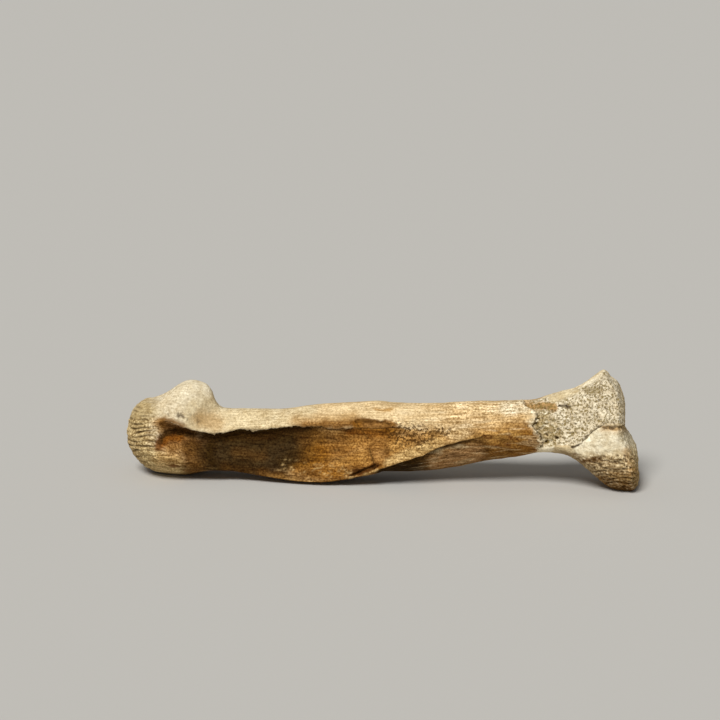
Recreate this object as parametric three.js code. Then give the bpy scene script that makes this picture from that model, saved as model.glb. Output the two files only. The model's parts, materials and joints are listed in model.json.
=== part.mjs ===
// Fossil limb bone of a large plant-eating dinosaur, lying on its side as it rests on a table.
// Millimetres. +X runs along the bone, from the fluted knuckle end to the broken fan end. +Z is up,
// and -Y is the hollowed face. The origin is on the resting plane, under the middle of the bone's box.
// The bone is one piece: a box is lofted into the bone's outlines, then carved and worn like the fossil.

import * as THREE from 'three';
import { ImprovedNoise } from 'three/addons/math/ImprovedNoise.js';
import { mergeVertices } from 'three/addons/utils/BufferGeometryUtils.js';

const { lerp, smoothstep } = THREE.MathUtils;

// Driving dimensions
const LENGTH = 560; // knuckle tip to the tip of the fan's lower lobe, before the ends are worn
const KNUCKLE_ROUND = 43; // length over which the knuckle end rounds off
const KNUCKLE_SQUARENESS = 2; // superellipse power of that rounding: 2 is a plain ellipse
const FAN_ROUND = 9; // length over which the broken fan end rounds off
const FAN_SQUARENESS = 3.2;
const KNUCKLE_FACE = 9; // distance from the tip at which the loft's side gives way to its end face
const FAN_FACE = 2.5;

// Mesh density of the faceted solid
const STEPS_ALONG = 66;
const STEPS_ACROSS = 16;
const END_CROWDING = 0.22; // above 0, the steps along the bone are closer together near its ends

const KNUCKLE_X = -LENGTH / 2;
const FAN_X = LENGTH / 2;
const atShare = (share) => KNUCKLE_X + share * LENGTH;

// Smooth curve through [place, value] points
function curve(points) {
  const places = points.map(([place]) => place);
  const values = points.map(([, value]) => value);
  const spline = new THREE.CubicInterpolant(places, values, 1);
  return (place) => spline.evaluate(place)[0];
}

// Smooth curve along the bone through [share of the length, value] points
const alongBone = (points) => curve(points.map(([share, value]) => [atShare(share), value]));

// Outlines of the lofted bone

// Height of the upper edge: knuckle, straight shaft, then the rise to the fan's peak
const topEdge = alongBone([
  [0, 92], [0.035, 89.5], [0.056, 84], [0.075, 78], [0.1, 76.5], [0.155, 75], [0.18, 73.5],
  [0.24, 73.7], [0.31, 75], [0.39, 82], [0.44, 84.2], [0.49, 86.5], [0.54, 85], [0.6, 86], [0.673, 89],
  [0.77, 92], [0.8, 93.5], [0.833, 101], [0.876, 108.5], [0.914, 120], [0.95, 128], [0.957, 125],
  [0.966, 120], [0.982, 116.5], [1, 104],
]);

// Rise of the knob above the upper edge, beside the knuckle: it ends in a steep step down to the shaft
const knobRise = alongBone([
  [0.06, 0], [0.074, 3], [0.09, 13.5], [0.108, 24], [0.126, 28.5], [0.14, 29], [0.152, 28],
  [0.166, 23], [0.173, 12], [0.181, 2], [0.188, 0],
]);
const KNOB_SPREAD = [0.7, 1]; // how high on the section the knob starts to rise, and where it peaks
const KNOB_LEAN = 110; // how fast the step slants towards the knuckle, lower on the section

// Height of the lower edge: it rests at the knuckle and the fan's lobe, and arches between them
const lowerEdge = alongBone([
  [0, 0], [0.05, -1], [0.08, -2], [0.12, -2], [0.145, 2], [0.166, 7], [0.23, 8], [0.27, 5.5],
  [0.309, 2.5], [0.366, 1.2], [0.4, 2.5], [0.44, 5], [0.486, 7.5], [0.5625, 9.5], [0.605, 11],
  [0.646, 15.5], [0.7, 23.5], [0.77, 30], [0.81, 36], [0.84, 36], [0.868, 33], [0.886, 27],
  [0.907, 17], [0.928, 5], [0.948, -2], [1, -3],
]);

// Height of the crest, where the front stands furthest forward: it winds up the shaft to the fan
const crestLine = alongBone([
  [0, 40], [0.07, 36], [0.13, 26], [0.166, 18], [0.23, 12], [0.31, 7], [0.366, 5], [0.41, 7],
  [0.455, 12], [0.486, 17], [0.536, 27], [0.573, 37], [0.605, 46], [0.646, 53], [0.69, 59],
  [0.77, 66], [0.83, 60], [0.88, 50], [0.94, 38], [1, 34],
]);

// How far the bone reaches forward and back from its middle plane
const frontReach = alongBone([
  [0, 36], [0.05, 44], [0.1, 46], [0.15, 39], [0.23, 30], [0.31, 33], [0.366, 35], [0.45, 36],
  [0.54, 36], [0.61, 35], [0.69, 32], [0.77, 29], [0.83, 29], [0.88, 33], [0.94, 40], [1, 43],
]);
const backReach = alongBone([
  [0, 38], [0.05, 45], [0.1, 47], [0.16, 42], [0.23, 35], [0.366, 34], [0.54, 34], [0.69, 32],
  [0.79, 31], [0.86, 35], [0.94, 42], [1, 44],
]);

// Share of the height at which the back stands furthest out: low on the fan, which thins upwards
const backGirdle = alongBone([[0, 0.5], [0.6, 0.5], [0.85, 0.42], [1, 0.36]]);

// How the front curves away above and below the crest: under 1 is flat-faced, over 1 is keen-edged
const upperCurve = alongBone([
  [0, 0.7], [0.12, 0.8], [0.2, 1.1], [0.6, 1.1], [0.78, 1], [0.87, 1.2], [1, 1.3],
]);
const lowerCurve = alongBone([
  [0, 1.4], [0.08, 1.8], [0.14, 1.6], [0.2, 1.1], [0.4, 1.3], [0.55, 1.9], [0.75, 1.6], [0.88, 1],
  [0.95, 0.95],
]);

// How far the fan's end face falls short of the full length, by height
const endSetback = curve([
  [0, -2.5], [10, -1], [18, 1], [35, 3], [45, 6.5], [55, 12.5], [65, 18], [74, 17], [130, 17],
]);
const SETBACK_RUN = 70; // length over which the setback fades out along the fan

// Carving on the front face

// Lip of the upper ridge: it overhangs the long hollow, then edges the strip along the top of the fan
const lipLine = alongBone([
  [0, 66], [0.06, 68], [0.077, 69], [0.116, 61], [0.155, 53.5], [0.193, 54], [0.232, 57.5], [0.291, 60],
  [0.339, 64], [0.398, 67.5], [0.432, 66], [0.53, 66.5], [0.593, 67], [0.66, 69.5], [0.77, 82],
  [0.833, 91], [0.876, 98.5], [0.914, 111], [0.952, 124], [0.982, 113], [1, 100],
]);
const LIP_TURN = Math.PI / 4; // every section reaches the lip at this turn above the crest

// Depth of the long hollow, and how close under the lip it is deepest: 1 is halfway to the crest
const hollowDepth = alongBone([
  [0.052, 0], [0.064, 3], [0.078, 11], [0.1, 15], [0.13, 15], [0.2, 13], [0.29, 13], [0.37, 12], [0.45, 10],
  [0.53, 6], [0.6, 2], [0.655, 0],
]);
const HOLLOW_LEAN = 1.4;

// The break near the fan, where the outer layer is lost: its edge, its sink, and the crack below it
const breakEdge = curve([
  [40, 178], [47, 176], [55, 173], [65, 168], [73, 165], [82, 166], [88, 156], [130, 153],
]);
const crackLine = alongBone([
  [0.79, 44], [0.84, 46], [0.867, 48.5], [0.892, 57], [0.905, 65.5], [0.925, 73], [0.972, 77], [1, 78],
]);
const BREAK_SINK = 4;
const BREAK_STEP = 3; // width of the step down at the edge
const BREAK_FADE = 16; // height over which the sink fades out above the crack
const CRACK_DEPTH = 4;
const CRACK_HALF_WIDTH = 4.5;
const CRACK_OPENS_AT = atShare(0.9); // the crack is a wide groove from here to the end

// Grooves that run in from the knuckle's rim: their heights, and the distances over which they fade out
const GROOVES = [18, 28, 42, 54, 66];
const GROOVE_HALF_WIDTH = 5.5;
const GROOVE_DEPTH = 2;
const GROOVE_RUN = [12, 44];

// Notch between the knuckle's two condyles, on its end
const NOTCH = { y: 12, halfWidth: 24, depth: 5, run: 38 };

// Shallow hollow on the back of the fan
const BACK_HOLLOW = { share: 0.93, halfLength: 46, z: 58, halfHeight: 34, depth: 7 };

// Uneven surface: slow swells everywhere, and a rougher grain on the break
const SWELL = { size: 38, height: 1.3 };
const ROUGH = { size: 9, height: 1.6 };

const noise = new ImprovedNoise();
const swell = (p, { size, height }) => height * noise.noise(p.x / size, p.y / size, p.z / size);

// Smooth bump: 1 at offset 0, 0 beyond the half width
const bump = (offset, halfWidth) => 1 - smoothstep(Math.abs(offset), 0, halfWidth);

// Share of the full section at a distance from an end, and the distance back from a share
const endShare = (distance, round, power) =>
  distance >= round ? 1 : (1 - (1 - distance / round) ** power) ** (1 / power);
const endDistance = (share, round, power) => round * (1 - (1 - share ** power) ** (1 / power));

// A point on the section's outline at x, in the direction (across, up) on a unit circle
function outlinePoint(x, across, up) {
  const top = topEdge(x);
  const low = lowerEdge(x);
  const knob = Math.max(knobRise(x + KNOB_LEAN * (1 - up)), 0) * smoothstep(up, ...KNOB_SPREAD);
  if (across >= 0) {
    const girdle = lerp(low, top, backGirdle(x));
    const z = girdle + up * (up > 0 ? top - girdle : girdle - low);
    return { y: backReach(x) * across, z: z + knob };
  }
  const crest = crestLine(x);
  const y = -frontReach(x) * (-across) ** (up > 0 ? upperCurve(x) : lowerCurve(x));
  if (up <= 0) return { y, z: crest + up * (crest - low) };
  const lip = lipLine(x);
  const lipUp = Math.sin(LIP_TURN);
  if (up > lipUp) return { y, z: lerp(lip, top, (up - lipUp) / (1 - lipUp)) + knob };
  const scoop = Math.sin(Math.PI * (Math.asin(up) / LIP_TURN) ** HOLLOW_LEAN);
  return { y: y + Math.max(hollowDepth(x), 0) * scoop, z: lerp(crest, lip, up / lipUp) };
}

// Place along the bone of a step from -1 to 1
function stepAlong(u) {
  const crowded = u * (1 + END_CROWDING) - END_CROWDING * u ** 3;
  return lerp(KNUCKLE_X + KNUCKLE_FACE, FAN_X - FAN_FACE, 0.5 + 0.5 * crowded);
}

// Lofts a point of the box, with coordinates from -1 to 1, onto the bone
function loft(u, v, w) {
  const across = v * Math.sqrt(1 - w * w / 2);
  const up = w * Math.sqrt(1 - v * v / 2);
  const radius = Math.max(Math.hypot(across, up), 1e-6);
  let x = stepAlong(u);
  const share = radius * Math.min(
    endShare(x - KNUCKLE_X, KNUCKLE_ROUND, KNUCKLE_SQUARENESS),
    endShare(FAN_X - x, FAN_ROUND, FAN_SQUARENESS),
  );
  if (u === -1) x = KNUCKLE_X + endDistance(share, KNUCKLE_ROUND, KNUCKLE_SQUARENESS);
  if (u === 1) x = FAN_X - endDistance(share, FAN_ROUND, FAN_SQUARENESS);
  const rim = outlinePoint(x, across / radius, up / radius);
  const middle = lerp(lowerEdge(x), topEdge(x), 0.5);
  const p = new THREE.Vector3(x, share * rim.y, lerp(middle, rim.z, share));
  const facing = { front: smoothstep(-across, 0.1, 0.5), back: smoothstep(across, 0.2, 0.7) };
  return { p, facing, share, middle };
}

// Beyond the break's edge and above the crack, the spongy inside is exposed, sunk and rough
function breakFan(p, facing) {
  const past = smoothstep(p.x - breakEdge(p.z), 0, BREAK_STEP);
  const above = smoothstep(p.z - crackLine(p.x), 0, BREAK_FADE);
  p.y += facing.front * past * above * (BREAK_SINK + swell(p, ROUGH));
  const open = smoothstep(p.x, CRACK_OPENS_AT, CRACK_OPENS_AT + CRACK_HALF_WIDTH);
  p.y += facing.front * open * CRACK_DEPTH * bump(p.z - crackLine(p.x), CRACK_HALF_WIDTH);
}

// The fan's end face leans back towards the top
function leanFanEnd(p) {
  p.x -= endSetback(p.z) * smoothstep(p.x, FAN_X - SETBACK_RUN, FAN_X);
}

// Grooves run in from the knuckle's rim, and a notch parts its condyles
function cutKnuckle(p, share, middle) {
  const fromTip = p.x - KNUCKLE_X;
  const fade = GROOVE_DEPTH * (1 - smoothstep(fromTip, ...GROOVE_RUN));
  const groove = fade * Math.max(...GROOVES.map((z) => bump(p.z - z, GROOVE_HALF_WIDTH)));
  p.x += groove * (1 - share);
  p.y *= 1 - share * groove / middle;
  p.x += NOTCH.depth * bump(p.y - NOTCH.y, NOTCH.halfWidth) * bump(fromTip, NOTCH.run);
}

function hollowBack(p, facing) {
  const { share, halfLength, z, halfHeight, depth } = BACK_HOLLOW;
  p.y -= facing.back * depth * bump(p.x - atShare(share), halfLength) * bump(p.z - z, halfHeight);
}

function boneGeometry() {
  const box = new THREE.BoxGeometry(2, 2, 2, STEPS_ALONG, STEPS_ACROSS, STEPS_ACROSS);
  box.deleteAttribute('normal');
  box.deleteAttribute('uv');
  const geometry = mergeVertices(box);
  const position = geometry.getAttribute('position');
  for (let i = 0; i < position.count; i++) {
    const { p, facing, share, middle } = loft(position.getX(i), position.getY(i), position.getZ(i));
    breakFan(p, facing);
    leanFanEnd(p);
    cutKnuckle(p, share, middle);
    hollowBack(p, facing);
    p.y += swell(p, SWELL);
    p.z = Math.max(p.z, 0); // worn flat where it rests
    position.setXYZ(i, p.x, p.y, p.z);
  }
  const middle = new THREE.Box3().setFromBufferAttribute(position).getCenter(new THREE.Vector3());
  geometry.translate(-middle.x, -middle.y, 0);
  geometry.computeVertexNormals();
  return geometry;
}

const fossilBone = new THREE.MeshStandardMaterial({ color: 0xc9a878, roughness: 0.85, metalness: 0 });
const bone = new THREE.Mesh(boneGeometry(), fossilBone);
bone.name = 'bone';

const fossil = new THREE.Group();
fossil.add(bone);

export default fossil;
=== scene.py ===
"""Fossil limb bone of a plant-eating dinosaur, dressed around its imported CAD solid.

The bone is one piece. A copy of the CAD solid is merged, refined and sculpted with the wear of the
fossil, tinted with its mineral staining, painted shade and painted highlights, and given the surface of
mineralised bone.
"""

import json
import logging
import math
from collections.abc import Callable
from dataclasses import dataclass
from enum import Enum

import bpy
import numpy as np
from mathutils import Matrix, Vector, noise

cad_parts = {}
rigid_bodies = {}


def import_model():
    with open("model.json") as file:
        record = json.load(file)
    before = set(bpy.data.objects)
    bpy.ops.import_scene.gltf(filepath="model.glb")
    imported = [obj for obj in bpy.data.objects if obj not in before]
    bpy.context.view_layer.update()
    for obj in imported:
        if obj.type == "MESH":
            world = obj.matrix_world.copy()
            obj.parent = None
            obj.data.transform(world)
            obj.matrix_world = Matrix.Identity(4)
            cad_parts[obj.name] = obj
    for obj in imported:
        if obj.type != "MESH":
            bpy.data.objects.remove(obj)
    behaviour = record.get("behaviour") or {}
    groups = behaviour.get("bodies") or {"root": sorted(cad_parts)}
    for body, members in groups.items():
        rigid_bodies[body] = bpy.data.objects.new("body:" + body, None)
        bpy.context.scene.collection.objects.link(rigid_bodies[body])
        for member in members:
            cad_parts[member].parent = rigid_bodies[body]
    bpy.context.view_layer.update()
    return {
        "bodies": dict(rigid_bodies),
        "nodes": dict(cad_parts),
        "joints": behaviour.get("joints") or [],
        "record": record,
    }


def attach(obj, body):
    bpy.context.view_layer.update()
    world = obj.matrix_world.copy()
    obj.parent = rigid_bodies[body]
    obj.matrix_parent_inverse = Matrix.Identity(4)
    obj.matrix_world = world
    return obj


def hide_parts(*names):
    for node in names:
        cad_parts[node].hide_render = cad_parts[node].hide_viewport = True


Array = np.ndarray
Path = tuple[tuple[float, float], ...]

LOG = logging.getLogger("fossil")
FRAME_SIDE = 720.0
MM_PER_M = 1000.0


class Pigment(Enum):
    """Colours of the fossil and its stage, as sRGB hex values."""

    BLEACHED = "#f4e9cc"
    CREAM = "#e6d4ac"
    WARM_CREAM = "#ecd0a0"
    IVORY = "#ecdebf"
    STRAW = "#bda672"
    PALE_TAN = "#cdb07a"
    TAN = "#b98f50"
    HONEY = "#b5853c"
    AMBER = "#92621f"
    ORANGE = "#7d4a0d"
    RUST = "#6a3c14"
    BROWN = "#6b4a20"
    UMBER = "#3f290d"
    OLIVE_DARK = "#302006"
    ROSY_BEIGE = "#bd9566"
    SPONGE_PALE = "#f2e6ca"
    SPONGE_OLIVE = "#b0965c"
    SPONGE_GAP = "#8d7742"
    PORE = "#4a2e0e"
    FLOOR = "#cbc8c1"


class Mark(Enum):
    """Point attributes that the bone's surface reads."""

    TINT = "tint"
    SPONGE = "sponge"
    PORES = "pores"
    GRAIN = "grain"


class Zone(Enum):
    """Parts of the bone that a tinted patch keeps to."""

    FACE = "all that faces the viewer"
    BAND = "pale band above the lip"
    HOLLOW = "long hollow between the lip and the crest"
    UNDERSIDE = "below the crest"
    BREAK = "spongy inside, past the broken edge and above the crack"
    LOBE = "fan below the crack"


def to_linear(colour: str) -> Array:
    """Turn an sRGB hex colour to linear light.

    Args:
        colour: Text such as "#e6d4ab".

    Returns:
        Three linear values from 0 to 1.
    """
    srgb = np.array([int(colour[i : i + 2], 16) for i in (1, 3, 5)]) / 255
    return np.where(srgb <= 0.04045, srgb / 12.92, ((srgb + 0.055) / 1.055) ** 2.4)


def ramp(value: Array, low: float, high: float) -> Array:
    """Rise smoothly from 0 at low to 1 at high.

    Args:
        value: Values to place on the ramp.
        low: Where the ramp starts.
        high: Where the ramp ends.

    Returns:
        The ramp's height at each value.
    """
    share = np.clip((value - low) / (high - low), 0, 1)
    return share * share * (3 - 2 * share)


def ripple(points: Array, size: tuple[float, float, float], octaves: int = 1) -> Array:
    """Sample smooth noise at points.

    Args:
        points: Places in millimetres.
        size: Width of a swell along each axis, in millimetres.
        octaves: How many finer layers are added up.

    Returns:
        A value for each point, from about -1 to 1.
    """
    places = (points / np.array(size)).tolist()
    if octaves == 1:
        return np.array([noise.noise(place) for place in places])
    return np.array([noise.fractal(place, 0.9, 2.0, octaves) for place in places])


def veins(points: Array, size: tuple[float, float, float], width: float) -> Array:
    """Draw thin winding lines where smooth noise crosses zero.

    Args:
        points: Places in millimetres.
        size: Spacing of the lines along each axis, in millimetres.
        width: Share of the spacing that a line takes.

    Returns:
        1 on a line, falling to 0 beside it.
    """
    return np.exp(-((ripple(points, size) / width) ** 2))


def pits(points: Array, size: float, reach: float) -> Array:
    """Scatter round pits, one in each cell.

    Args:
        points: Places in millimetres.
        size: Width of a cell in millimetres.
        reach: Radius of a pit, as a share of a cell.

    Returns:
        1 in the middle of a pit, 0 outside it.
    """
    nearest = np.array([noise.voronoi(place)[0][0] for place in (points / size).tolist()])
    return 1 - ramp(nearest, 0, reach)


def blocks(points: Array, size: float) -> Array:
    """Give every small block of space a height of its own.

    Args:
        points: Places in millimetres.
        size: Side of a block in millimetres.

    Returns:
        A value for each point, from -1 to 1, the same all over a block.
    """
    return np.array([noise.cell(place) for place in (points / size).tolist()])


def path_distance(places: Array, path: Path) -> Array:
    """Measure how far places are from a path.

    Args:
        places: Points in the frame, in pixels.
        path: Corners of the path, in pixels.

    Returns:
        Distance of each place from the path, in pixels.
    """
    corners = np.array(path, float)
    nearest = np.hypot(*(places - corners[0]).T)
    for start, end in zip(corners[:-1], corners[1:]):
        run = end - start
        share = np.clip(((places - start) @ run) / (run @ run), 0, 1)
        nearest = np.minimum(nearest, np.hypot(*(places - start - share[:, None] * run).T))
    return nearest


def add_node(
    tree: bpy.types.NodeTree,
    kind: str,
    links: dict[str | int, object] | None = None,
    **settings: object,
) -> bpy.types.Node:
    """Add a node with its settings, input values and links.

    Args:
        tree: Node tree that takes the node.
        kind: Blender's name for the node's type.
        links: Input name or number to a value, or to the output socket that feeds it.
        **settings: Properties of the node itself.

    Returns:
        The new node.
    """
    node = tree.nodes.new(kind)
    for name, value in settings.items():
        setattr(node, name, value)
    for name, value in (links or {}).items():
        if isinstance(value, bpy.types.NodeSocket):
            tree.links.new(value, node.inputs[name])
        else:
            node.inputs[name].default_value = value
    return node


@dataclass(frozen=True)
class PhotoView:
    """The viewpoint from which the bone's face is seen and its markings are laid out."""

    azimuth_deg: float = 6.0
    elevation_deg: float = 14.0
    distance_mm: float = 2600.0
    mm_per_pixel: float = 1.0888
    origin_pixel: tuple[float, float] = (381.0, 478.6)
    sensor_mm: float = 36.0

    def axes(self) -> Array:
        """Work out the view's directions.

        Returns:
            Right, up and backward, as rows.
        """
        turn = math.radians(self.azimuth_deg)
        tilt = math.radians(self.elevation_deg)
        flat = math.cos(tilt)
        back = np.array([math.sin(turn) * flat, -math.cos(turn) * flat, math.sin(tilt)])
        right = np.array([math.cos(turn), math.sin(turn), 0.0])
        return np.stack([right, np.cross(back, right), back])

    def eye(self) -> Array:
        """Return the viewpoint's place in millimetres."""
        shift = (np.array(self.origin_pixel) - FRAME_SIDE / 2) * self.mm_per_pixel
        return np.array([-shift[0], shift[1], self.distance_mm]) @ self.axes()

    def pixels(self, points: Array) -> Array:
        """Find where points lie in the photograph's frame.

        Args:
            points: Places in millimetres.

        Returns:
            A row of pixel column and row for each point.
        """
        across, rise, toward = self.axes() @ (points - self.eye()).T
        focal = self.distance_mm / self.mm_per_pixel
        middle = FRAME_SIDE / 2
        return np.stack([middle - focal * across / toward, middle + focal * rise / toward], axis=1)

    def build(self) -> bpy.types.Object:
        """Add the camera at this viewpoint.

        Returns:
            The camera, which the scene now looks through.
        """
        turn = Vector(-self.axes()[2]).to_track_quat("-Z", "Y").to_euler()
        bpy.ops.object.camera_add(location=self.eye() / MM_PER_M, rotation=turn)
        camera = bpy.context.object
        camera.data.sensor_width = self.sensor_mm
        camera.data.lens = self.distance_mm / self.mm_per_pixel * self.sensor_mm / FRAME_SIDE
        bpy.context.scene.camera = camera
        return camera


class Surface:
    """A mesh's points and normals, in millimetres."""

    def __init__(self, piece: bpy.types.Object) -> None:
        """Read the piece's mesh.

        Args:
            piece: Object that holds the mesh.
        """
        self.mesh = piece.data
        self.points = np.empty((len(self.mesh.vertices), 3))
        self.normals = np.empty_like(self.points)
        self.read()

    def read(self) -> None:
        """Read the mesh again after a change."""
        self.mesh.update()
        flat = np.empty(self.points.size, np.float32)
        self.mesh.vertices.foreach_get("co", flat)
        self.points[:] = flat.reshape(-1, 3) * MM_PER_M
        self.mesh.vertices.foreach_get("normal", flat)
        self.normals[:] = flat.reshape(-1, 3)

    def push(self, height: Array) -> None:
        """Move every point along its normal, and keep it above the floor.

        Args:
            height: Millimetres that each point moves out.
        """
        moved = (self.points + self.normals * height[:, None]) / MM_PER_M
        moved[:, 2] = np.maximum(moved[:, 2], 0)
        self.mesh.vertices.foreach_set("co", moved.astype(np.float32).ravel())
        self.read()

    def creases(self) -> Array:
        """Measure how deep each point lies in a crease.

        Returns:
            Millimetres below the points around it, negative on an edge.
        """
        ends = np.empty(len(self.mesh.edges) * 2, np.int32)
        self.mesh.edges.foreach_get("vertices", ends)
        first, second = ends.reshape(-1, 2).T
        total = np.zeros_like(self.points)
        count = np.zeros(len(self.points))
        for near, far in ((first, second), (second, first)):
            np.add.at(total, near, self.points[far])
            np.add.at(count, near, 1)
        offset = total / np.maximum(count, 1)[:, None] - self.points
        return np.einsum("ij,ij->i", offset, self.normals)

    def write_mark(self, mark: Mark, value: Array) -> None:
        """Store a value or a colour for each point, for the material to read.

        Args:
            mark: Attribute that takes the values.
            value: A number, or four of a colour, for each point.
        """
        kind, name = ("FLOAT_COLOR", "color") if value.ndim == 2 else ("FLOAT", "value")
        layer = self.mesh.attributes.new(mark.value, kind, "POINT")
        layer.data.foreach_set(name, value.astype(np.float32).ravel())


# Lines on the bone's face, in pixels of the photograph's frame
LIP = (
    (158, 417), (165, 420), (178, 425), (190, 430), (205, 434), (218, 434), (228, 431.5), (238, 429.5),
    (260, 431), (270, 428.5), (296, 426), (320, 427), (334, 428.5), (347, 428), (372, 428), (398, 427),
    (430, 430),
)
CREST = (
    (344, 478), (377, 469.5), (400, 462.5), (423, 455), (437, 448), (457, 442), (471, 438.5), (486, 435),
    (520, 430),
)
BREAK_EDGE = (
    (522, 399), (523, 402), (525.6, 406.7), (532, 409.5), (535.6, 412.5), (534.4, 420), (532.5, 425.6),
    (536.7, 431), (540, 437.8), (542, 442), (539.5, 448), (540, 455),
)
FAN_CRACK = ((571, 446.7), (578, 444.5), (583, 440), (587, 437.5), (591, 432), (596.7, 428), (602, 425.8))
FAN_GROOVE = ((603, 428), (612, 428.5), (626, 427.5))
CRACK_FLOOR = ((500, 452), (545, 448), *FAN_CRACK, (640, 424.5))
STRIP_BROAD = ((553, 396), (562, 393), (573, 388.5))
STRIP_FINE = ((573, 387.5), (588, 380), (600, 373.5))
SCAR_TOP = ((353, 419), (381, 419.3), (391.5, 423.6), (397, 425.5))
SCAR_LOW = ((347, 428.6), (360, 428.6), (372, 428), (398.6, 426.7))
CHIP_TOP = ((343, 477), (358, 470.8), (374, 463.6), (378, 463.6))
CHIP_LOW = ((343, 477), (360, 475), (377, 469.3))
KNUCKLE_CREASE = ((161, 441), (163, 436), (167, 432.8), (175, 431.8), (190, 433.5), (204, 435.5))
SHAFT_CRACK_HIGH = ((354, 420), (360, 428), (364, 433), (367.5, 438.5))
SHAFT_CRACK_LOW = ((370.5, 449), (372, 456), (374, 464))
WHITE_CHIP = ((541, 449.6), (551, 448.6))
SMALL_CRACK = ((557, 404), (563, 404.5), (569, 407))
KNOB = ((182, 393), (205, 402))
KNOB_SHOULDER = ((206, 387), (211, 392))
KNOB_PIT = ((178, 414.5), (183, 415.5))
HOLLOW_RIM = ((154, 448), (154.5, 438), (160, 431))
BELLY_SPECKS = ((285, 467), (320, 471), (346, 473))
EDGE_HOLES = ((542, 419), (549, 437))
PORE_FIELD = ((397, 434), (424, 437))
PORE_TAIL = ((440, 431), (446, 432))

# Columns and rows of the same frame: single ones bound a part, pairs fade it, fours fade it in and out
RIM_COLUMN = 128
RIM_END = 156
RIM_FADE = (143, 163)
RIM_CALM = (150, 164)
RIM_LEAN_ROWS = (406, 428)
RIM_CROWN_ROWS = (404, 424)
RIM_FOOT_ROWS = (446, 460)
LIP_START = 158
LIP_END = 432
LIP_REACH = 5
LIP_GRAIN = (285, 310, 400, 440)
LIP_COLUMNS = (158, 180, 205, 265, 300, 330, 398, 430)
LIP_CUT_MM = (0, 1.5, 4, 3.4, 1.8, 1.1, 1.2, 0)
SCAR_SPAN = (346, 366, 386, 400)
SCAR_CALM = (305, 325, 400, 430)
CHIPS_START = 340
CHIPS_ROW = 416
CHIP_SPAN = (343, 352, 374, 377)
CREST_SPAN = (374, 386, 450, 500)
CREST_FADE = (372, 380)
HOLLOW_STREAKS = (290, 345)
SHAFT_STREAKS = (380, 440)
FAN_COLUMN = 520
FAN_FOOT_ROW = 454
LOBE_COLUMNS = (578, 600)
LOBE_ROWS = (450, 462)
LOBE_END_COLUMNS = (618, 630)
LOBE_END_ROWS = (436, 452)
SCORED_ROWS = (450, 458)

# Places along the bone, in millimetres from its middle, and the grain's share at each
FAN_MM = (150, 200)
LOBE_MM = (190, 210)
END_FACE_MM = (230, 250)
GRAIN_PLACES_MM = (-250, -200, -150, 30, 80, 150, 175)
GRAIN_SHARES = (0.5, 0.3, 0.5, 0.5, 0.9, 0.9, 0.35)


@dataclass(frozen=True)
class StainAndShade:
    """A patch of pigment laid along a path in the photograph's frame, for mineral staining and for painted
    shade and highlight: reach and fade are in pixels.
    """

    pigment: Pigment
    path: Path
    reach: float
    fade: float
    strength: float = 1.0
    zone: Zone = Zone.FACE

    def cover(self, places: Array) -> Array:
        """Return how strongly the patch covers each place, from 0 to 1."""
        distance = path_distance(places, self.path)
        return self.strength * (1 - ramp(distance, self.reach - self.fade, self.reach + self.fade))


@dataclass(frozen=True)
class Crack:
    """A crack along a path in the photograph's frame: half width in pixels and depth in millimetres."""

    path: Path
    half_width: float
    depth: float

    def cut(self, places: Array) -> Array:
        """Return the crack's depth at each place."""
        return self.depth * np.exp(-((path_distance(places, self.path) / self.half_width) ** 2))


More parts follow.
